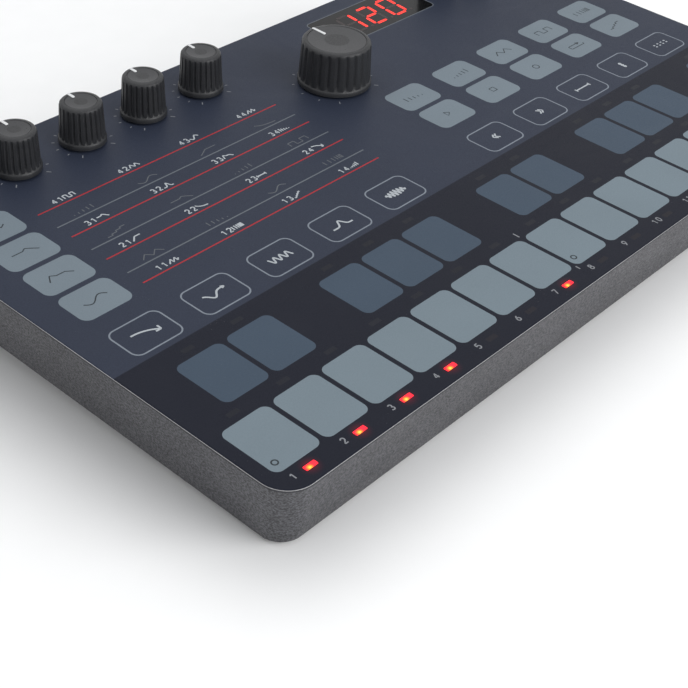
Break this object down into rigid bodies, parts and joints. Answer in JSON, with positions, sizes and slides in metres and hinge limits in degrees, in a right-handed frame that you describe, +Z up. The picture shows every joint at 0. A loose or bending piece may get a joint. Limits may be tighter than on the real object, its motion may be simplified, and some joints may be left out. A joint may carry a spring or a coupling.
{
  "type": "portable synthesizer",
  "caption": "Flat portable synthesizer with a printed touch keyboard, touch buttons, lit step marks, a row of knobs, a display, rear sockets and a battery door.",
  "frame": {"origin": "on the resting surface, under the middle of the outline", "axes": "+X to the player's right, +Y to the rear, +Z up"},
  "size_m": [0.256, 0.1508, 0.0495],
  "materials": {
    "case_plastic": "fine-grain moulded",
    "panel_print": "matte printed film",
    "light_print": "matte printed",
    "dark_print": "matte printed",
    "button_print": "matte printed",
    "outline_print": "matte printed",
    "light_window": "tinted light guide",
    "lamp_body": "clear resin",
    "display_glass": "smoked, polished",
    "knob_plastic": "soft-touch",
    "shaft_metal": "turned",
    "foot_rubber": "matte",
    "screw_steel": "blackened",
    "board_laminate": "solder mask",
    "copper_pad": "bare copper",
    "component_black": "moulded",
    "capacitor_can": "bare can",
    "connector_plastic": "moulded",
    "cable_film": "flat film",
    "socket_steel": "tinned",
    "cell_sleeve": "gloss printed sleeve"
  },
  "bodies": {
    "case": {"audio_in_jack": "component_black", "audio_out_jack": "component_black", "base_plate": "case_plastic", "batteries": "cell_sleeve", "battery_contacts": "socket_steel", "board_screws": "screw_steel", "button_outlines": "outline_print", "capacitors": "capacitor_can", "case_screws": "screw_steel", "control_board": "board_laminate", "control_board_chips": "component_black", "dark_key_pads": "dark_print", "display_module": "component_black", "display_window": "display_glass", "edit_button_pads": "button_print", "encoder_body": "socket_steel", "front_panel": "panel_print", "function_button_pads": "button_print", "key_leds": "lamp_body", "key_light_windows": "light_window", "link_cable": "cable_film", "link_connectors": "connector_plastic", "main_board": "board_laminate", "main_board_chips": "component_black", "main_board_screws": "screw_steel", "midi_in_jack": "component_black", "midi_out_jack": "component_black", "potentiometer_bodies": "socket_steel", "power_switch_body": "socket_steel", "rubber_feet": "foot_rubber", "step_leds": "lamp_body", "step_light_windows": "light_window", "top_case": "case_plastic", "touch_electrodes": "copper_pad", "usb_socket": "socket_steel", "white_key_pads": "light_print"},
    "battery_door": {"battery_door": "case_plastic"},
    "power_switch": {"power_slider": "component_black"},
    "encoder_push": {"encoder_plunger": "connector_plastic"},
    "data_dial": {"data_knob": "knob_plastic", "data_shaft": "shaft_metal"},
    "volume_dial": {"volume_knob": "knob_plastic", "volume_shaft": "shaft_metal"},
    "edit_1_dial": {"edit_1_knob": "knob_plastic", "edit_1_shaft": "shaft_metal"},
    "edit_2_dial": {"edit_2_knob": "knob_plastic", "edit_2_shaft": "shaft_metal"},
    "edit_3_dial": {"edit_3_knob": "knob_plastic", "edit_3_shaft": "shaft_metal"},
    "edit_4_dial": {"edit_4_knob": "knob_plastic", "edit_4_shaft": "shaft_metal"},
    "cutoff_dial": {"cutoff_knob": "knob_plastic", "cutoff_shaft": "shaft_metal"},
    "tempo_dial": {"tempo_knob": "knob_plastic", "tempo_shaft": "shaft_metal"}
  },
  "joints": [
    {"name": "volume_turn", "type": "hinge", "parent": "case", "child": "volume_dial", "pos_m": [-0.1119, 0.05838, 0.04148], "axis": [0, -0.0698, 0.9976], "range_deg": [-140, 140]},
    {"name": "edit_1_turn", "type": "hinge", "parent": "case", "child": "edit_1_dial", "pos_m": [-0.08984, 0.05838, 0.04148], "axis": [0, -0.0698, 0.9976], "range_deg": [-140, 140]},
    {"name": "edit_2_turn", "type": "hinge", "parent": "case", "child": "edit_2_dial", "pos_m": [-0.06778, 0.05838, 0.04148], "axis": [0, -0.0698, 0.9976], "range_deg": [-140, 140]},
    {"name": "edit_3_turn", "type": "hinge", "parent": "case", "child": "edit_3_dial", "pos_m": [-0.04572, 0.05838, 0.04148], "axis": [0, -0.0698, 0.9976], "range_deg": [-140, 140]},
    {"name": "edit_4_turn", "type": "hinge", "parent": "case", "child": "edit_4_dial", "pos_m": [-0.02366, 0.05838, 0.04148], "axis": [0, -0.0698, 0.9976], "range_deg": [-140, 140]},
    {"name": "cutoff_turn", "type": "hinge", "parent": "case", "child": "cutoff_dial", "pos_m": [0.00943, 0.03594, 0.03991], "axis": [0, -0.0698, 0.9976], "range_deg": [-140, 140]},
    {"name": "data_turn", "type": "hinge", "parent": "encoder_push", "child": "data_dial", "pos_m": [0.08664, 0.05838, 0.04148], "axis": [0, -0.0698, 0.9976], "continuous": true},
    {"name": "tempo_turn", "type": "hinge", "parent": "case", "child": "tempo_dial", "pos_m": [0.1087, 0.05838, 0.04148], "axis": [0, -0.0698, 0.9976], "range_deg": [-140, 140]},
    {"name": "data_push", "type": "slide", "parent": "case", "child": "encoder_push", "axis": [0, 0.0698, -0.9976], "range_m": [0, 0.0005], "stiffness_N_per_m": 2000, "springref_m": -0.0005},
    {"name": "door_slide", "type": "slide", "parent": "case", "child": "battery_door", "axis": [0, 0.9976, 0.0698], "range_m": [0, 0.058]},
    {"name": "power_slide", "type": "slide", "parent": "case", "child": "power_switch", "axis": [-1, 0, 0], "range_m": [0, 0.003]}
  ]
}
